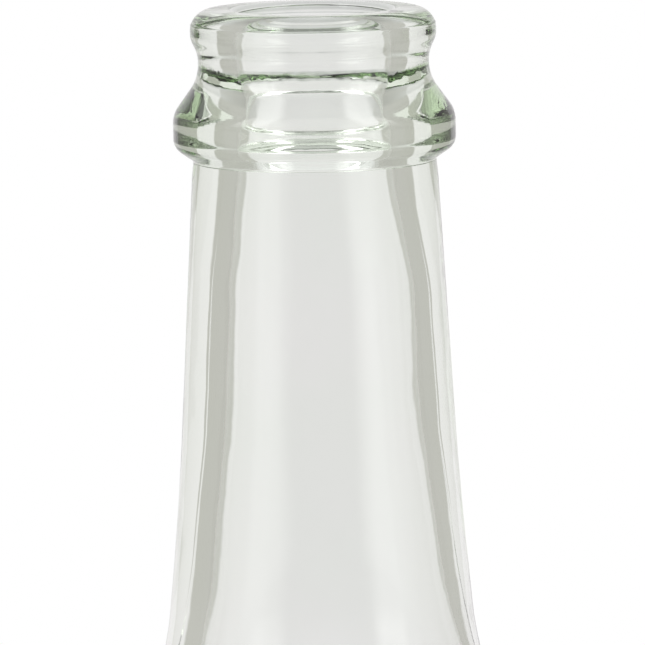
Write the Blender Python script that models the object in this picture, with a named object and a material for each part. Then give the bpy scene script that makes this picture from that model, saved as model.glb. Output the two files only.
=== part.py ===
"""A clear glass soda bottle with a crown finish, and its crown cork lying open beside it.

The bottle is one moulding of glass. The crown cork is a fluted tinplate shell with a sealing liner
inside, and it rests upside down on its flat panel next to the bottle's heel.

Sizes are in millimetres and turn into metres where the meshes are made. Turned outlines are lists
of corners, (radius, depth, fillet): depth runs down from the top of the lip, and fillet is the
radius of the arc that rounds the corner.
"""
import math

import bmesh
import bpy

MM = 0.001
CHORD_ERROR = 0.12               # how far a straight step may cut inside an outline's arc
MERGE_DISTANCE = 1e-7            # metres; closes the spun meshes along their seam and at the axis

# Bottle, outside
BOTTLE_HEIGHT = 229.0
BOTTLE_SEGMENTS = 48
BODY_RADIUS = 30.5
LOCKING_RING_RADIUS = 13.3       # the bead that a crown's skirt is crimped under
WAIST_RADIUS = 12.5
COLLAR_RADIUS = 15.3             # the reinforcing ring under the finish
COLLAR_TOP = 11.3
COLLAR_BOTTOM = 14.82
NECK_TOP_RADIUS = 13.18
NECK_TOP = 16.3
SHOULDER_START = 73.8
SHOULDER_END = 98.4
LABEL_RECESS = 0.4
LABEL_TOP = 111.0
LABEL_BOTTOM = 203.0
FOOT_OUTER_RADIUS = 28.2         # where the heel's slope would meet the table
FOOT_INNER_RADIUS = 22.6
PUSH_UP = 3.8                    # how far the base rises at its middle

# Bottle, inside
BORE_RADIUS = 8.6
BORE_THROAT_RADIUS = 8.3
WALL = 3.2
BASE_THICKNESS = 4.2

# Crown cork
CROWN_RADIUS = 16.05             # over the flutes' tips
CROWN_HEIGHT = 5.9               # to the outer edge of the skirt
CROWN_FLUTES = 21
SEGMENTS_PER_FLUTE = 4
CROWN_SHEET = 0.24
PANEL_RADIUS = 12.1              # the flat of the top panel
CORNER_RADIUS = 1.7              # the bend between panel and skirt
CORNER_RINGS = 3
SKIRT_RINGS = 3
SKIRT_VALLEY_FLARE = 0.35        # how far the valleys between the flutes lean out at the edge
LINER_RADIUS = 12.7
LINER_THICKNESS = 0.8
LINER_SEGMENTS = 48
LINER_DISC_RADIUS = 10.6         # the thin middle of the liner, inside its sealing ring
LINER_DISC_THICKNESS = 0.45
LINER_CLEARANCE = 0.3

# Places: the pair's box is centred on the origin
CROWN_SPACING = 54.0             # between the two upright axes
BOTTLE_X = (BODY_RADIUS - CROWN_RADIUS - CROWN_SPACING) / 2
CROWN_X = BOTTLE_X + CROWN_SPACING


def clear_scene():
    for item in list(bpy.data.objects):
        bpy.data.objects.remove(item, do_unlink=True)


def material(name, colour, roughness, metallic=0.0, transmission=0.0):
    result = bpy.data.materials.new(name)
    result.use_nodes = True
    shader = result.node_tree.nodes["Principled BSDF"]
    shader.inputs["Base Color"].default_value = (*colour, 1.0)
    shader.inputs["Roughness"].default_value = roughness
    shader.inputs["Metallic"].default_value = metallic
    shader.inputs["Transmission Weight"].default_value = transmission
    result.diffuse_color = (*colour, 1.0)
    return result


def arc_points(before, corner, after, fillet):
    """Points of the arc of radius fillet that rounds the corner between its two neighbours."""
    to_before = (before[0] - corner[0], before[1] - corner[1])
    to_after = (after[0] - corner[0], after[1] - corner[1])
    start_angle = math.atan2(to_before[1], to_before[0])
    end_angle = math.atan2(to_after[1], to_after[0])
    opening = abs(math.remainder(end_angle - start_angle, math.tau))
    turn = math.pi - opening
    middle_angle = start_angle + math.remainder(end_angle - start_angle, math.tau) / 2
    centre_distance = fillet / math.sin(opening / 2)
    centre = (corner[0] + centre_distance * math.cos(middle_angle),
              corner[1] + centre_distance * math.sin(middle_angle))
    side = math.copysign(1.0, math.remainder(end_angle - start_angle, math.tau))
    longest_step = 2 * math.acos(1 - CHORD_ERROR / fillet)
    steps = math.ceil(turn / longest_step)
    points = []
    for index in range(steps + 1):
        angle = middle_angle + math.pi - side * turn * (index / steps - 0.5)
        points.append((centre[0] + fillet * math.cos(angle), centre[1] + fillet * math.sin(angle)))
    return points


def rounded_outline(corners):
    """Turn (radius, depth, fillet) corners into (radius, depth) points; the ends stay as they are."""
    points = [corners[0][:2]]
    for before, corner, after in zip(corners, corners[1:], corners[2:]):
        if corner[2] > 0:
            points.extend(arc_points(before, corner, after, corner[2]))
        else:
            points.append(corner[:2])
    points.append(corners[-1][:2])
    return points


def finish_mesh(name, mesh_data, place, surface):
    """Make a smooth-shaded object from a bmesh, with its origin at place."""
    bmesh.ops.recalc_face_normals(mesh_data, faces=mesh_data.faces)
    mesh = bpy.data.meshes.new(name)
    mesh_data.to_mesh(mesh)
    mesh_data.free()
    mesh.shade_smooth()
    mesh.set_sharp_from_angle(angle=math.radians(35))
    mesh.materials.append(surface)
    result = bpy.data.objects.new(name, mesh)
    result.location = place
    bpy.context.collection.objects.link(result)
    return result


def turned_solid(name, outline, segments, place, surface):
    """Spin an outline of (radius, height) points, both ends on the axis, into a closed solid."""
    spun = bmesh.new()
    chain = [spun.verts.new((radius * MM, 0.0, height * MM)) for radius, height in outline]
    edges = [spun.edges.new(pair) for pair in zip(chain, chain[1:])]
    bmesh.ops.spin(spun, geom=chain + edges, cent=(0, 0, 0), axis=(0, 0, 1),
                   angle=math.tau, steps=segments, use_merge=True)
    bmesh.ops.remove_doubles(spun, verts=spun.verts, dist=MERGE_DISTANCE)
    return finish_mesh(name, spun, place, surface)


def bottle_outside():
    """The outer wall from the bore over the lip, down to the middle of the base."""
    label_radius = BODY_RADIUS - LABEL_RECESS
    return [
        (BORE_RADIUS, 0, 0.8),
        (LOCKING_RING_RADIUS, 0, 2.3),
        (LOCKING_RING_RADIUS, 3.1, 2.4),
        (WAIST_RADIUS, 4.85, 4.0),
        (WAIST_RADIUS - 0.05, 7.35, 4.6),
        (COLLAR_RADIUS, COLLAR_TOP, 3.0),
        (COLLAR_RADIUS, COLLAR_BOTTOM, 1.65),
        (NECK_TOP_RADIUS, NECK_TOP, 0.4),
        (15.26, 52.8, 390),
        (17.3, SHOULDER_START, 42),
        (BODY_RADIUS, SHOULDER_END, 26),
        (BODY_RADIUS, LABEL_TOP, 0.8),
        (label_radius, LABEL_TOP + 1, 0.8),
        (label_radius, LABEL_BOTTOM, 0.8),
        (BODY_RADIUS, LABEL_BOTTOM + 1, 0.8),
        (BODY_RADIUS, BOTTLE_HEIGHT - 8.5, 10),
        (FOOT_OUTER_RADIUS, BOTTLE_HEIGHT, 3.2),
        (FOOT_INNER_RADIUS, BOTTLE_HEIGHT, 1.5),
        (20.5, BOTTLE_HEIGHT - 2, 2.5),
        (0, BOTTLE_HEIGHT - PUSH_UP, 0),
    ]


def bottle_inside():
    """The inner wall from the middle of the floor up to the mouth."""
    inner_radius = BODY_RADIUS - WALL
    floor = BOTTLE_HEIGHT - PUSH_UP - BASE_THICKNESS
    return [
        (0, floor, 0),
        (inner_radius, floor + 2.6, 9),
        (inner_radius, SHOULDER_END + 0.6, 24),
        (13.5, 69, 60),
        (10.9, 46, 60),
        (10.1, 29.5, 40),
        (8.4, 17.5, 30),
        (BORE_THROAT_RADIUS, 7, 30),
    ]


def make_bottle():
    glass = material("bottle_glass", (0.86, 0.93, 0.89), 0.03, transmission=1.0)
    corners = bottle_inside() + bottle_outside()
    outline = [(radius, BOTTLE_HEIGHT - depth) for radius, depth in rounded_outline(corners)]
    return turned_solid("bottle", outline, BOTTLE_SEGMENTS, (BOTTLE_X * MM, 0, 0), glass)


def crown_section():
    """The shell's outer side from panel to edge: (valley radius, tip radius, height) per ring."""
    rings = [(PANEL_RADIUS, PANEL_RADIUS, 0.0)]
    for index in range(1, CORNER_RINGS + 1):
        angle = index / CORNER_RINGS * math.radians(78)
        radius = PANEL_RADIUS + CORNER_RADIUS * math.sin(angle)
        rings.append((radius, radius, CORNER_RADIUS * (1 - math.cos(angle))))
    skirt_radius, _, skirt_start = rings[-1]
    for index in range(1, SKIRT_RINGS + 1):
        part = index / SKIRT_RINGS
        valley = skirt_radius + SKIRT_VALLEY_FLARE * part
        tip = skirt_radius + (CROWN_RADIUS - skirt_radius) * part
        rings.append((valley, tip, skirt_start + (CROWN_HEIGHT - skirt_start) * part))
    return rings


def make_crown_shell():
    """A fluted cup of thin sheet; its panel lies on the ground and its skirt points up."""
    tinplate = material("crown_tinplate", (0.76, 0.76, 0.77), 0.28, metallic=1.0)
    shell = bmesh.new()
    count = CROWN_FLUTES * SEGMENTS_PER_FLUTE
    rings = []
    for valley, tip, height in crown_section():
        ring = []
        for step in range(count):
            angle = math.tau * step / count
            wave = 0.5 + 0.5 * math.cos(CROWN_FLUTES * angle)
            radius = valley + (tip - valley) * wave
            ring.append(shell.verts.new((radius * math.cos(angle) * MM,
                                         radius * math.sin(angle) * MM, height * MM)))
        rings.append(ring)
    middle = shell.verts.new((0, 0, 0))
    for step in range(count):
        after = (step + 1) % count
        shell.faces.new((middle, rings[0][after], rings[0][step]))
        for lower, upper in zip(rings, rings[1:]):
            shell.faces.new((lower[step], lower[after], upper[after], upper[step]))
    crown = finish_mesh("crown_shell", shell, (CROWN_X * MM, 0, 0), tinplate)
    sheet = crown.modifiers.new("sheet", "SOLIDIFY")
    sheet.thickness = CROWN_SHEET * MM
    sheet.offset = -1.0
    sheet.use_even_offset = True
    return crown


def make_crown_liner():
    """A moulded disc with a thicker sealing ring, lying just clear of the shell's panel."""
    plastic = material("crown_liner", (0.87, 0.88, 0.86), 0.45)
    base = CROWN_SHEET + LINER_CLEARANCE
    disc_top = base + LINER_DISC_THICKNESS
    ring_top = base + LINER_THICKNESS
    ring_inner = LINER_DISC_RADIUS + 0.3
    outline = rounded_outline([
        (0, disc_top, 0),
        (LINER_DISC_RADIUS, disc_top, 0),
        (ring_inner, ring_top, 0.15),
        (LINER_RADIUS - 0.4, ring_top, 0.3),
        (LINER_RADIUS, base + 0.3, 0),
        (LINER_RADIUS - 0.3, base, 0),
        (0, base, 0),
    ])
    return turned_solid("crown_liner", outline, LINER_SEGMENTS, (CROWN_X * MM, 0, 0), plastic)


def main():
    clear_scene()
    make_bottle()
    make_crown_shell()
    make_crown_liner()


main()
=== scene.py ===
"""Looks for the clear glass soda bottle and its loose crown cork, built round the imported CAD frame.

Lengths are millimetres, except in the materials, which work in metres. A turned outline is a list
of corners, (radius, depth, fillet): depth runs down from the top of the lip, and fillet is the
radius of the arc that rounds the corner. The bottle's outline is the CAD's, in finer steps.
"""
import math

import bpy
import bmesh
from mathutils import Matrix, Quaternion, Vector, noise


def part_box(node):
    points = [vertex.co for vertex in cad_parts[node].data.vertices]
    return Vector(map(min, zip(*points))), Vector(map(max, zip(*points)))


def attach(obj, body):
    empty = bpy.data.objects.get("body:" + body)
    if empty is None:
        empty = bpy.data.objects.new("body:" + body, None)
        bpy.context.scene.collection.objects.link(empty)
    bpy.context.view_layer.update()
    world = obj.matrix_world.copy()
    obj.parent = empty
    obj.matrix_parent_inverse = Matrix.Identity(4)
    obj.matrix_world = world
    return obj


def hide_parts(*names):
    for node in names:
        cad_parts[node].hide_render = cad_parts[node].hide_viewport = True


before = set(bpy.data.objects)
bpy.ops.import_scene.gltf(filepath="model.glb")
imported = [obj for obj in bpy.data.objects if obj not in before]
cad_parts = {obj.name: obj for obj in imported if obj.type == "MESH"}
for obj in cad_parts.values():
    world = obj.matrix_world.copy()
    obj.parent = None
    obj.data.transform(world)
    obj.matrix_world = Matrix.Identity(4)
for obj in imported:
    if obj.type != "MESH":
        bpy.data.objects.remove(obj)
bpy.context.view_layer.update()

MM = 0.001
TINY = 1e-6                      # shorter than any real step

# Places and sizes that the frame gives
bottle_low, bottle_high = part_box("bottle")
crown_low, crown_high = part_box("crown_shell")
liner_low, liner_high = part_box("crown_liner")
BOTTLE_X = (bottle_low.x + bottle_high.x) / 2 / MM
BOTTLE_HEIGHT = bottle_high.z / MM
BODY_RADIUS = (bottle_high.x - bottle_low.x) / 2 / MM

# Bottle outline, as in the CAD
LOCKING_RING_RADIUS = 13.3
WAIST_RADIUS = 12.5
COLLAR_RADIUS = 15.3
COLLAR_TOP = 11.3
COLLAR_BOTTOM = 14.82
NECK_TOP_RADIUS = 13.18
NECK_TOP = 16.3
SHOULDER_START = 73.8
SHOULDER_END = 98.4
LABEL_RECESS = 0.4
LABEL_TOP = 111.0
LABEL_BOTTOM = 203.0
FOOT_OUTER_RADIUS = 28.2
FOOT_INNER_RADIUS = 22.6
PUSH_UP = 3.8
BORE_RADIUS = 8.6
BORE_THROAT_RADIUS = 8.3
BORE_THROAT_DEPTH = 7.0
WALL = 3.2
BASE_THICKNESS = 4.2

# Fineness of the turned meshes
BOTTLE_SEGMENTS = 320
CHORD_ERROR = 0.003
LONGEST_STEP = 1.2
FINISH_DEPTH = 20.0              # down to here the steps are finer
FINISH_STEP = 0.12

# Mould marks on the glass
PARTING_DEPTH = 1.63             # the seam round the locking ring
PARTING_HEIGHT = 0.07
PARTING_WIDTH = 0.14
MOULD_JOINT_DEPTH = 6.9          # the rough joint between finish mould and neck mould
MOULD_JOINT_WIDTH = 1.3
MOULD_JOINT_ROUGHNESS = 0.03
SEAM_HEIGHT = 0.05
SEAM_HALF_ANGLE = math.radians(0.8)
SEAM_FADE_IN = 2.0               # the neck's seams rise over this length under the collar
HEEL_TOP = 19.0                  # above the foot; waves and seams fade out from here ...
HEEL_BOTTOM = 7.0                # ... down to here
OUTER_WAVES = 0.016
INNER_WAVES = 0.10
INNER_WAVES_START = 3.0          # the bore is smooth down to here ...
INNER_WAVES_FULL = 16.0          # ... and at its most uneven from here on
BOX_CLEARANCE = 0.07             # keeps waves and seams inside the CAD's box

# Crown and liner, as in the CAD
CROWN_X = (crown_low.x + crown_high.x) / 2 / MM
CROWN_RADIUS = (crown_high.x - crown_low.x) / 2 / MM
CROWN_HEIGHT = crown_high.z / MM
CROWN_FLUTES = 21
SEGMENTS_PER_FLUTE = 20
CROWN_SHEET = 0.24
PANEL_RADIUS = 12.1
PANEL_RINGS = (0.3, 0.6, 0.85, 1.0)
CORNER_RADIUS = 1.7
CORNER_TURN = math.radians(78)
CORNER_STEPS = 10
SKIRT_STEPS = 18
SKIRT_VALLEY_FLARE = 0.35
SKIRT_CURVE = 0.25               # share of the ridges' flare that grows towards the edge
RIDGE_SHARPNESS = 1.25
RIM_BEVEL = 0.05
RIM_BEVEL_ANGLE = math.radians(50)
LINER_RADIUS = (liner_high.x - liner_low.x) / 2 / MM
LINER_TOP = liner_high.z / MM
LINER_SEGMENTS = 256
LINER_GAP = 0.06                 # under the liner
LINER_RING_RISE = 0.35           # the sealing ring above the thin disc
LINER_DENT = 0.18                # left in the sealing ring by the bottle's lip
LINER_SLACK = 0.04
LINER_OUT_OF_ROUND = 0.03

# Floor
FLOOR_RADIUS = 190.0
FLOOR_GAP = 0.05                 # between the card and whatever stands on it
FLOOR_FADE = 85.0                # pale card out to here, then it fades to the studio's white
FLOOR_CORNERS = 96

# Camera: a little above the lip, looking slightly down at the collar and neck
CAMERA_DISTANCE = 600.0
CAMERA_ABOVE_LIP = 49.0
CAMERA_AIM_DEPTH = 34.3
CAMERA_SIDE = 0.55
CAMERA_LENS = 310.9
CAMERA_SENSOR = 36.0
CAMERA_ROLL = math.radians(-0.87)

# Light paths: glass walls bend a path many times before it leaves the bottle
MOST_BOUNCES = 32
GLOSSY_BOUNCES = 16

# Glass
GLASS_IOR = 1.52
GLASS_TINT = (0.82, 0.93, 0.74)
GLASS_TINT_DENSITY = 20.0
SCUFFED_BY_HEIGHT = [            # (metres above the foot, share of the surface that is scuffed)
    (0.000, 0.9), (0.002, 0.9), (0.004, 0.1), (0.008, 0.5), (0.018, 0.6), (0.024, 0.05),
    (0.117, 0.05), (0.120, 0.6), (0.130, 0.5), (0.137, 0.0), (0.226, 0.0), (0.229, 0.1),
]

# The studio's brightness round the bottle in three rings, one above the other, as
# (degrees from the backdrop, colour) stops, with one grey under them and one over them
LEVEL_RING = [
    (0, (0.885, 0.868, 0.877)),
    (30, (0.885, 0.868, 0.877)),
    (33, (0.52, 0.512, 0.48)),
    (98, (0.54, 0.53, 0.51)),
    (104, (0.88, 0.88, 0.88)),
    (132, (0.88, 0.88, 0.88)),
    (142, (0.15, 0.15, 0.15)),
    (180, (0.12, 0.12, 0.12)),
]
LOW_RING = [
    (0, (0.66, 0.66, 0.66)),
    (35, (0.62, 0.62, 0.62)),
    (60, (0.46, 0.46, 0.44)),
    (90, (0.34, 0.34, 0.32)),
    (115, (0.16, 0.16, 0.15)),
    (150, (0.10, 0.10, 0.10)),
    (180, (0.25, 0.25, 0.25)),
]
HIGH_RING = [
    (0, (0.92, 0.92, 0.92)),
    (30, (0.92, 0.92, 0.92)),
    (47, (0.8, 0.8, 0.8)),
    (104, (0.8, 0.8, 0.8)),
    (110, (3.4, 3.4, 3.4)),
    (132, (3.4, 3.4, 3.4)),
    (142, (0.7, 0.7, 0.7)),
    (180, (0.6, 0.6, 0.6)),
]
FLOOR_GREY = (0.10, 0.10, 0.10)
TOP_GREY = (0.35, 0.35, 0.35)

# Elevations in degrees between which each of those fades into the next
FLOOR_TO_LOW = (-66, -56)
LOW_TO_LEVEL = (-32, -20)
LEVEL_TO_HIGH = (14, 30)
HIGH_TO_TOP = (62, 70)


# ---------------------------------------------------------------- outlines and turned meshes

def arc_points(before, corner, after, fillet):
    """Points of the arc of radius fillet that rounds the corner between its two neighbours."""
    start_angle = math.atan2(before[1] - corner[1], before[0] - corner[0])
    end_angle = math.atan2(after[1] - corner[1], after[0] - corner[0])
    swing = math.remainder(end_angle - start_angle, math.tau)
    turn = math.pi - abs(swing)
    middle_angle = start_angle + swing / 2
    centre_distance = fillet / math.sin(abs(swing) / 2)
    centre = (corner[0] + centre_distance * math.cos(middle_angle),
              corner[1] + centre_distance * math.sin(middle_angle))
    side = math.copysign(1.0, swing)
    steps = max(2, math.ceil(turn / (2 * math.acos(1 - CHORD_ERROR / fillet))))
    points = []
    for index in range(steps + 1):
        angle = middle_angle + math.pi - side * turn * (index / steps - 0.5)
        points.append((centre[0] + fillet * math.cos(angle), centre[1] + fillet * math.sin(angle)))
    return points


def rounded_outline(corners):
    """Turn (radius, depth, fillet) corners into (radius, depth) points in short steps."""
    rough = [corners[0][:2]]
    for before, corner, after in zip(corners, corners[1:], corners[2:]):
        if corner[2] > 0:
            rough.extend(arc_points(before, corner, after, corner[2]))
        else:
            rough.append(corner[:2])
    rough.append(corners[-1][:2])
    points = [rough[0]]
    for start, end in zip(rough, rough[1:]):
        length = math.dist(start, end)
        if length < TINY:
            continue
        step = FINISH_STEP if min(start[1], end[1]) < FINISH_DEPTH else LONGEST_STEP
        pieces = max(1, math.ceil(length / step))
        for index in range(1, pieces + 1):
            part = index / pieces
            points.append((start[0] + (end[0] - start[0]) * part,
                           start[1] + (end[1] - start[1]) * part))
    return points


def on_circle(place, radius, angle, height):
    """The point at radius (mm), angle and height (mm) round the upright axis through place."""
    return place + Vector((radius * math.cos(angle), radius * math.sin(angle), height)) * MM


def mesh_object(name, points, faces, surface):
    """A smooth-shaded object with its faces turned outwards."""
    mesh = bpy.data.meshes.new(name)
    mesh.from_pydata(points, [], faces)
    work = bmesh.new()
    work.from_mesh(mesh)
    bmesh.ops.recalc_face_normals(work, faces=work.faces)
    work.to_mesh(mesh)
    work.free()
    mesh.shade_smooth()
    mesh.materials.append(surface)
    result = bpy.data.objects.new(name, mesh)
    bpy.context.scene.collection.objects.link(result)
    return result


def turned_mesh(name, outline, segments, place, surface, shape):
    """Turn (radius, height) points, both ends on the axis, into a closed mesh about place.

    shape(radius, height, angle) gives the point's own radius, for a form that isn't quite round.
    """
    points = []
    rings = []
    for radius, height in outline:
        start = len(points)
        if radius < TINY:
            rings.append([start] * segments)
            points.append(place + Vector((0, 0, height)) * MM)
            continue
        rings.append([start + step for step in range(segments)])
        for step in range(segments):
            angle = math.tau * step / segments
            points.append(on_circle(place, shape(radius, height, angle), angle, height))
    faces = []
    for lower, upper in zip(rings, rings[1:]):
        for step in range(segments):
            after = (step + 1) % segments
            corners = (lower[step], lower[after], upper[after], upper[step])
            faces.append(tuple(dict.fromkeys(corners)))
    return mesh_object(name, points, faces, surface)


# ---------------------------------------------------------------- bottle

def bottle_outside():
    """The outer wall from the bore over the lip, down to the middle of the base."""
    label_radius = BODY_RADIUS - LABEL_RECESS
    return [
        (BORE_RADIUS, 0, 0.8),
        (LOCKING_RING_RADIUS, 0, 2.3),
        (LOCKING_RING_RADIUS, 3.1, 2.4),
        (WAIST_RADIUS, 4.85, 4.0),
        (WAIST_RADIUS - 0.05, 7.35, 4.6),
        (COLLAR_RADIUS, COLLAR_TOP, 3.0),
        (COLLAR_RADIUS, COLLAR_BOTTOM, 1.65),
        (NECK_TOP_RADIUS, NECK_TOP, 0.4),
        (15.26, 52.8, 390),
        (17.3, SHOULDER_START, 42),
        (BODY_RADIUS, SHOULDER_END, 26),
        (BODY_RADIUS, LABEL_TOP, 0.8),
        (label_radius, LABEL_TOP + 1, 0.8),
        (label_radius, LABEL_BOTTOM, 0.8),
        (BODY_RADIUS, LABEL_BOTTOM + 1, 0.8),
        (BODY_RADIUS, BOTTLE_HEIGHT - 8.5, 10),
        (FOOT_OUTER_RADIUS, BOTTLE_HEIGHT, 3.2),
        (FOOT_INNER_RADIUS, BOTTLE_HEIGHT, 1.5),
        (20.5, BOTTLE_HEIGHT - 2, 2.5),
        (0, BOTTLE_HEIGHT - PUSH_UP, 0),
    ]


def bottle_inside():
    """The inner wall from the middle of the floor up to the mouth."""
    inner_radius = BODY_RADIUS - WALL
    floor = BOTTLE_HEIGHT - PUSH_UP - BASE_THICKNESS
    return [
        (0, floor, 0),
        (inner_radius, floor + 2.6, 9),
        (inner_radius, SHOULDER_END + 0.6, 24),
        (13.5, 69, 60),
        (10.9, 46, 60),
        (10.1, 29.5, 40),
        (8.4, 17.5, 30),
        (BORE_THROAT_RADIUS, BORE_THROAT_DEPTH, 30),
    ]


def smooth_step(low, high, value):
    """0 up to low, 1 from high on, and a smooth rise between."""
    part = min(1.0, max(0.0, (value - low) / (high - low)))
    return part * part * (3 - 2 * part)


def inner_wall_drift(depth):
    """How far the blown inner wall runs off the axis towards +X."""
    below_finish = 0.3 * smooth_step(18, 31, depth)
    down_the_neck = 0.3 * smooth_step(40, 70, depth)
    back_in_the_body = 0.4 * smooth_step(80, 120, depth)
    return below_finish + down_the_neck - back_in_the_body


def unevenness(radius, depth, angle, grain, upright, seed):
    """Waves left by the mould and by the cooling glass, between -1 and 1.

    grain is their size in mm round the wall. They are longer down the wall, by 1 / upright.
    """
    place = Vector((radius * math.cos(angle), radius * math.sin(angle), depth * upright)) / grain
    return noise.noise(place + Vector((seed, 0, 0)))


def seam_height(angle):
    """The two body mould seams, one on each side of the bottle."""
    from_seam = abs(math.remainder(angle, math.pi))
    return SEAM_HEIGHT * max(0.0, 1 - from_seam / SEAM_HALF_ANGLE)


def parting_height(depth):
    """The ring seam round the lip, where the finish mould meets its plug."""
    return PARTING_HEIGHT * max(0.0, 1 - abs(depth - PARTING_DEPTH) / PARTING_WIDTH)


def make_bottle():
    """One closed mesh: up the inner wall, over the lip and down the outer wall."""
    points = rounded_outline(bottle_inside() + bottle_outside())
    outline = [(radius, BOTTLE_HEIGHT - depth) for radius, depth in points]
    lip = min(range(len(outline)), key=lambda index: abs(outline[index][1] - BOTTLE_HEIGHT))
    inner_points = set(outline[:lip])

    def shape(radius, height, angle):
        depth = BOTTLE_HEIGHT - height
        if (radius, height) in inner_points:
            blown = smooth_step(INNER_WAVES_START, INNER_WAVES_FULL, depth)
            waves = INNER_WAVES * blown * unevenness(
                radius, depth, angle, grain=7, upright=0.35, seed=3)
            return radius + waves + inner_wall_drift(depth) * math.cos(angle)
        waves = OUTER_WAVES * unevenness(radius, depth, angle, grain=2.5, upright=0.7, seed=40)
        joint = max(0.0, 1 - abs(depth - MOULD_JOINT_DEPTH) / MOULD_JOINT_WIDTH)
        waves += MOULD_JOINT_ROUGHNESS * joint * unevenness(
            radius, depth, angle, grain=0.55, upright=0.7, seed=90)
        if depth < SHOULDER_START:
            seam = seam_height(angle) * smooth_step(NECK_TOP, NECK_TOP + SEAM_FADE_IN, depth)
            return radius + waves + seam + parting_height(depth)
        above_heel = 1 - smooth_step(BOTTLE_HEIGHT - HEEL_TOP, BOTTLE_HEIGHT - HEEL_BOTTOM, depth)
        drawn_in = BOX_CLEARANCE * smooth_step(SHOULDER_START, SHOULDER_END, depth)
        return radius + (waves + seam_height(angle)) * above_heel - drawn_in

    place = Vector((BOTTLE_X * MM, 0, 0))
    bottle = turned_mesh("bottle_glass", outline, BOTTLE_SEGMENTS, place, glass_material(), shape)
    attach(bottle, "bottle")
    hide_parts("bottle")


# ---------------------------------------------------------------- crown cork

def crown_section():
    """The shell's outer side from panel to edge: (valley radius, tip radius, height) per ring."""
    rings = [(PANEL_RADIUS * part, PANEL_RADIUS * part, 0.0) for part in PANEL_RINGS]
    for index in range(1, CORNER_STEPS + 1):
        angle = index / CORNER_STEPS * CORNER_TURN
        radius = PANEL_RADIUS + CORNER_RADIUS * math.sin(angle)
        rings.append((radius, radius, CORNER_RADIUS * (1 - math.cos(angle))))
    skirt_radius, _, skirt_start = rings[-1]
    for index in range(1, SKIRT_STEPS + 1):
        part = index / SKIRT_STEPS
        flare = (1 - SKIRT_CURVE) * part + SKIRT_CURVE * part * part
        valley = skirt_radius + SKIRT_VALLEY_FLARE * part
        tip = skirt_radius + (CROWN_RADIUS - skirt_radius) * flare
        rings.append((valley, tip, skirt_start + (CROWN_HEIGHT - skirt_start) * part))
    return rings


def flute_wave(angle):
    """1 on a flute's ridge and 0 in the valley, with the ridges a little the sharper."""
    wave = 0.5 + 0.5 * math.cos(CROWN_FLUTES * angle)
    return wave ** RIDGE_SHARPNESS


def make_crown_shell():
    """The upturned fluted cup: its outer side, thickened inwards to a sheet with a soft rim."""
    count = CROWN_FLUTES * SEGMENTS_PER_FLUTE
    place = Vector((CROWN_X * MM, 0, 0))
    points = [place]
    rings = []
    for valley, tip, height in crown_section():
        rings.append([len(points) + step for step in range(count)])
        for step in range(count):
            angle = math.tau * step / count
            radius = valley + (tip - valley) * flute_wave(angle)
            points.append(on_circle(place, radius, angle, height))
    faces = [(0, rings[0][(step + 1) % count], rings[0][step]) for step in range(count)]
    for lower, upper in zip(rings, rings[1:]):
        for step in range(count):
            after = (step + 1) % count
            faces.append((lower[step], lower[after], upper[after], upper[step]))
    shell = mesh_object("crown_shell_tinplate", points, faces, tinplate_material())
    sheet = shell.modifiers.new("sheet", "SOLIDIFY")
    sheet.thickness = CROWN_SHEET * MM
    sheet.offset = -1.0
    sheet.use_even_offset = True
    rim = shell.modifiers.new("rim", "BEVEL")
    rim.width = RIM_BEVEL * MM
    rim.segments = 2
    rim.limit_method = "ANGLE"
    rim.angle_limit = RIM_BEVEL_ANGLE
    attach(shell, "crown")
    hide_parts("crown_shell")


def liner_section():
    """A thin disc inside a thick moulded ring, which has two sealing beads and the lip's dent."""
    base = CROWN_SHEET + LINER_GAP
    disc = LINER_TOP - LINER_RING_RISE
    return [
        (0, disc, 0),
        (9.2, disc, 0.1),
        (9.4, disc + 0.12, 0.1),
        (9.6, disc, 0.1),
        (10.4, disc, 0.15),
        (10.8, LINER_TOP, 0.2),
        (11.3, LINER_TOP, 0.15),
        (11.45, LINER_TOP - LINER_DENT, 0.15),
        (11.75, LINER_TOP - LINER_DENT, 0.15),
        (11.9, LINER_TOP, 0.15),
        (LINER_RADIUS - 0.2, LINER_TOP, 0.2),
        (LINER_RADIUS, LINER_TOP - 0.4, 0),
        (LINER_RADIUS - 0.3, base, 0),
        (0, base, 0),
    ]


def make_crown_liner():
    """The sealing disc in the shell, very slightly three-cornered."""
    def shape(radius, _height, angle):
        return radius - LINER_SLACK + LINER_OUT_OF_ROUND * math.cos(3 * angle + 0.6)

    outline = rounded_outline(liner_section())
    place = Vector((CROWN_X * MM, 0, 0))
    liner = turned_mesh("crown_liner_ring", outline, LINER_SEGMENTS, place, liner_material(), shape)
    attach(liner, "crown")
    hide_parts("crown_liner")


# ---------------------------------------------------------------- materials

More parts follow.
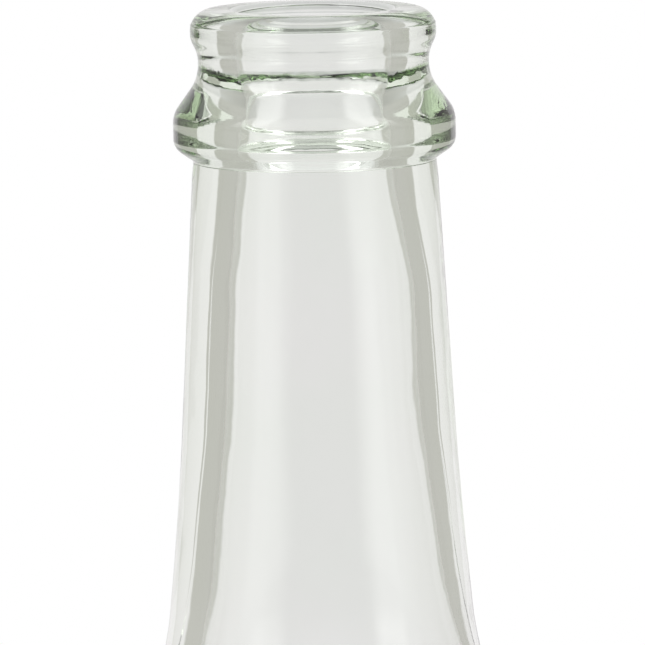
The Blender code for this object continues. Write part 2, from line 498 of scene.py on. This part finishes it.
class Nodes:
    """Short calls for one node tree. Noise scales are per metre, bump distances in metres."""

    def __init__(self, tree):
        self.tree = tree

    def add(self, kind, **settings):
        node = self.tree.nodes.new("ShaderNode" + kind)
        for name, value in settings.items():
            setattr(node, name, value)
        return node

    def feed(self, socket, value):
        """Link another node's output to the socket, or set the socket's own value."""
        if isinstance(value, bpy.types.NodeSocket):
            self.tree.links.new(value, socket)
        else:
            socket.default_value = value

    def math(self, operation, *values):
        node = self.add("Math", operation=operation)
        for socket, value in zip(node.inputs, values):
            self.feed(socket, value)
        return node.outputs[0]

    def split(self, vector):
        """The X, Y and Z sockets of a vector."""
        node = self.add("SeparateXYZ")
        self.feed(node.inputs[0], vector)
        return node.outputs

    def mix(self, factor, first, second):
        """first where factor is 0 and second where it is 1; both are colours."""
        node = self.add("Mix", data_type="RGBA")
        self.feed(node.inputs["Factor"], factor)
        colour_inputs = [socket for socket in node.inputs if socket.type == "RGBA"]
        self.feed(colour_inputs[0], first)
        self.feed(colour_inputs[1], second)
        return next(socket for socket in node.outputs if socket.type == "RGBA")

    def noise(self, vector, scale, detail):
        node = self.add("TexNoise")
        self.feed(node.inputs["Vector"], vector)
        self.feed(node.inputs["Scale"], scale)
        self.feed(node.inputs["Detail"], detail)
        return node.outputs["Fac"]

    def stretch(self, vector, factors):
        node = self.add("Mapping")
        self.feed(node.inputs["Vector"], vector)
        self.feed(node.inputs["Scale"], factors)
        return node.outputs["Vector"]

    def ramp(self, value, low, high, stops):
        """A colour by value, from (value, colour) stops between low and high."""
        part = self.add("MapRange")
        self.feed(part.inputs["Value"], value)
        self.feed(part.inputs["From Min"], low)
        self.feed(part.inputs["From Max"], high)
        node = self.add("ValToRGB")
        self.feed(node.inputs["Fac"], part.outputs["Result"])
        elements = node.color_ramp.elements
        elements.remove(elements[-1])
        for index, (at, colour) in enumerate(stops):
            position = (at - low) / (high - low)
            element = elements[0] if index == 0 else elements.new(position)
            element.position = position
            element.color = (*colour, 1)
        return node.outputs["Color"]

    def level(self, value, low, high, stops):
        """A grey level by value, from (value, level) stops between low and high."""
        return self.ramp(value, low, high, [(at, (grey, grey, grey)) for at, grey in stops])

    def between(self, factor, low, high):
        """A value that runs from low to high as factor runs from 0 to 1."""
        node = self.add("MapRange")
        self.feed(node.inputs["Value"], factor)
        self.feed(node.inputs["To Min"], low)
        self.feed(node.inputs["To Max"], high)
        return node.outputs["Result"]

    def bump(self, height, distance, strength, before=None):
        node = self.add("Bump")
        self.feed(node.inputs["Height"], height)
        self.feed(node.inputs["Distance"], distance)
        self.feed(node.inputs["Strength"], strength)
        if before:
            self.feed(node.inputs["Normal"], before)
        return node.outputs["Normal"]


def new_material(name):
    """A material with its node calls, its main shader and the object-space place in metres."""
    material = bpy.data.materials.new(name)
    material.use_nodes = True
    nodes = Nodes(material.node_tree)
    shader = material.node_tree.nodes["Principled BSDF"]
    place = nodes.add("TexCoord").outputs["Object"]
    return material, nodes, shader, place


def glass_material():
    """Pale green bottle glass, smooth at the neck and scuffed where bottles rub in a crate."""
    material, nodes, shader, place = new_material("bottle_glass")
    nodes.feed(shader.inputs["IOR"], GLASS_IOR)
    nodes.feed(shader.inputs["Transmission Weight"], 1.0)

    lowest, highest = SCUFFED_BY_HEIGHT[0][0], SCUFFED_BY_HEIGHT[-1][0]
    scuffed = nodes.level(nodes.split(place)["Z"], lowest, highest, SCUFFED_BY_HEIGHT)
    patches = nodes.level(nodes.noise(nodes.stretch(place, (900, 900, 2600)), 1.0, 6.0), 0, 1, [
        (0.50, 0), (0.62, 1)])
    scuffs = nodes.math("MULTIPLY", scuffed, patches)
    nodes.feed(shader.inputs["Roughness"], nodes.between(scuffs, 0.0, 0.32))
    smear = nodes.noise(place, 60, 2.0)
    tone = nodes.ramp(smear, 0, 1, [(0.3, (0.985, 0.995, 0.985)), (0.7, (1.0, 1.0, 1.0))])
    nodes.feed(shader.inputs["Base Color"], tone)

    waves = nodes.bump(nodes.noise(nodes.stretch(place, (260, 260, 420)), 1.0, 2.0), 0.00002, 0.5)
    peel = nodes.bump(nodes.noise(place, 1500, 2.0), 0.0000012, 0.6, waves)
    nodes.feed(shader.inputs["Normal"], nodes.bump(scuffs, 0.00001, 0.5, peel))

    tint = nodes.add("VolumeAbsorption")
    nodes.feed(tint.inputs["Color"], (*GLASS_TINT, 1))
    nodes.feed(tint.inputs["Density"], GLASS_TINT_DENSITY)
    nodes.feed(material.node_tree.nodes["Material Output"].inputs["Volume"], tint.outputs["Volume"])
    return material


def tinplate_material():
    """Bright tinplate under clear lacquer, with rolling lines, fine scratches and dull patches."""
    material, nodes, shader, place = new_material("crown_tinplate")
    nodes.feed(shader.inputs["Metallic"], 1.0)
    rolling = nodes.noise(nodes.stretch(place, (300, 9000, 9000)), 1.0, 4.0)
    scratches = nodes.level(nodes.noise(nodes.stretch(place, (5200, 500, 900)), 1.0, 5.0), 0, 1, [
        (0.62, 0), (0.66, 1), (0.70, 0)])
    dull = nodes.noise(place, 170, 4.0)
    nodes.feed(shader.inputs["Base Color"], nodes.ramp(dull, 0, 1, [
        (0.30, (0.62, 0.60, 0.55)), (0.50, (0.74, 0.73, 0.71)), (0.70, (0.80, 0.80, 0.79))]))
    worn = nodes.math("ADD", nodes.between(dull, 0.34, 0.16), nodes.between(scratches, 0.0, 0.15))
    nodes.feed(shader.inputs["Roughness"], worn)
    lines = nodes.bump(rolling, 0.000004, 0.35)
    nodes.feed(shader.inputs["Normal"], nodes.bump(scratches, 0.00001, 0.4, lines))
    nodes.feed(shader.inputs["Coat Weight"], 0.5)
    nodes.feed(shader.inputs["Coat Roughness"], 0.08)
    return material


def liner_material():
    """Moulded off-white plastic, slightly mottled, with flow marks and dust."""
    material, nodes, shader, place = new_material("crown_liner")
    mottle = nodes.noise(place, 420, 5.0)
    specks = nodes.level(nodes.noise(place, 2600, 2.0), 0, 1, [(0.70, 0), (0.76, 1)])
    colour = nodes.ramp(mottle, 0, 1, [(0.35, (0.70, 0.71, 0.68)), (0.65, (0.80, 0.81, 0.79))])
    dust = nodes.math("MULTIPLY", specks, 0.35)
    nodes.feed(shader.inputs["Base Color"], nodes.mix(dust, colour, (0.45, 0.43, 0.39, 1)))
    nodes.feed(shader.inputs["Roughness"], nodes.between(mottle, 0.38, 0.56))
    nodes.feed(shader.inputs["Subsurface Weight"], 0.15)
    nodes.feed(shader.inputs["Subsurface Radius"], (0.0008, 0.0008, 0.0007))
    grain = nodes.bump(nodes.noise(place, 3800, 3.0), 0.000012, 0.5)
    nodes.feed(shader.inputs["Normal"], nodes.bump(mottle, 0.00003, 0.4, grain))
    return material


def floor_material():
    """Pale matt card that fades away at its edge."""
    material, nodes, shader, place = new_material("floor_card")
    grain = nodes.noise(place, 900, 4.0)
    nodes.feed(shader.inputs["Base Color"], nodes.ramp(grain, 0, 1, [
        (0.3, (0.80, 0.80, 0.795)), (0.7, (0.84, 0.84, 0.835))]))
    nodes.feed(shader.inputs["Roughness"], nodes.between(grain, 0.75, 0.9))
    nodes.feed(shader.inputs["Normal"], nodes.bump(grain, 0.00003, 0.3))
    distance = nodes.add("VectorMath", operation="LENGTH")
    nodes.feed(distance.inputs[0], place)
    fade = nodes.add("MapRange", interpolation_type="SMOOTHSTEP")
    nodes.feed(fade.inputs["Value"], distance.outputs["Value"])
    nodes.feed(fade.inputs["From Min"], FLOOR_FADE * MM)
    nodes.feed(fade.inputs["From Max"], FLOOR_RADIUS * MM)
    nodes.feed(fade.inputs["To Min"], 1.0)
    nodes.feed(fade.inputs["To Max"], 0.0)
    nodes.feed(shader.inputs["Alpha"], fade.outputs["Result"])
    return material


# ---------------------------------------------------------------- stage

def make_floor():
    """A round card just under the foot and the crown's panel."""
    angles = [math.tau * index / FLOOR_CORNERS for index in range(FLOOR_CORNERS)]
    points = [on_circle(Vector(), FLOOR_RADIUS, angle, -FLOOR_GAP) for angle in angles]
    floor = mesh_object("floor", points, [tuple(range(FLOOR_CORNERS))], floor_material())


def make_camera():
    """A long lens that looks slightly down at the lip, collar and neck."""
    axis = Vector((BOTTLE_X + CAMERA_SIDE, 0, BOTTLE_HEIGHT)) * MM
    place = axis + Vector((0, -CAMERA_DISTANCE, CAMERA_ABOVE_LIP)) * MM
    target = axis - Vector((0, 0, CAMERA_AIM_DEPTH)) * MM
    data = bpy.data.cameras.new("camera")
    data.lens = CAMERA_LENS
    data.sensor_width = CAMERA_SENSOR
    camera = bpy.data.objects.new("camera", data)
    camera.location = place
    camera.rotation_mode = "QUATERNION"
    turn = Quaternion((0, 0, 1), CAMERA_ROLL)
    camera.rotation_quaternion = (target - place).to_track_quat("-Z", "Y") @ turn
    bpy.context.scene.collection.objects.link(camera)
    bpy.context.scene.camera = camera


def make_world():
    """A studio by direction: bright backdrop, grey sides, softboxes in front, dark camera side.

    The camera itself sees plain white where there is no object.
    """
    world = bpy.data.worlds.new("studio")
    bpy.context.scene.world = world
    world.use_nodes = True
    nodes = Nodes(world.node_tree)
    _, y, z = nodes.split(nodes.add("TexCoord").outputs["Generated"])
    level = nodes.math("SQRT", nodes.math("SUBTRACT", 1.0, nodes.math("MULTIPLY", z, z)))
    azimuth = nodes.math("DEGREES", nodes.math("ARCCOSINE", nodes.math("DIVIDE", y, level)))
    elevation = nodes.math("DEGREES", nodes.math("ARCSINE", z))

    def ring(stops):
        return nodes.ramp(azimuth, 0, 180, stops)

    def above(blend, below_colour, above_colour):
        """below_colour under the blend's elevations, above_colour over them."""
        start, end = blend
        factor = nodes.level(elevation, -90, 90, [(start, 0), (end, 1)])
        return nodes.mix(factor, below_colour, above_colour)

    up_to_low = above(FLOOR_TO_LOW, (*FLOOR_GREY, 1), ring(LOW_RING))
    up_to_level = above(LOW_TO_LEVEL, up_to_low, ring(LEVEL_RING))
    up_to_high = above(LEVEL_TO_HIGH, up_to_level, ring(HIGH_RING))
    studio = world.node_tree.nodes["Background"]
    nodes.feed(studio.inputs["Color"], above(HIGH_TO_TOP, up_to_high, (*TOP_GREY, 1)))

    white = nodes.add("Background")
    nodes.feed(white.inputs["Color"], (1, 1, 1, 1))
    choose = nodes.add("MixShader")
    nodes.feed(choose.inputs["Fac"], nodes.add("LightPath").outputs["Is Camera Ray"])
    nodes.feed(choose.inputs[1], studio.outputs[0])
    nodes.feed(choose.inputs[2], white.outputs[0])
    nodes.feed(world.node_tree.nodes["World Output"].inputs["Surface"], choose.outputs[0])


def set_view():
    """Plain view transform, and enough bounces for the glass."""
    scene = bpy.context.scene
    scene.view_settings.view_transform = "Standard"
    scene.cycles.max_bounces = MOST_BOUNCES
    scene.cycles.transmission_bounces = MOST_BOUNCES
    scene.cycles.glossy_bounces = GLOSSY_BOUNCES


make_bottle()
make_crown_shell()
make_crown_liner()
make_floor()
make_camera()
make_world()
set_view()
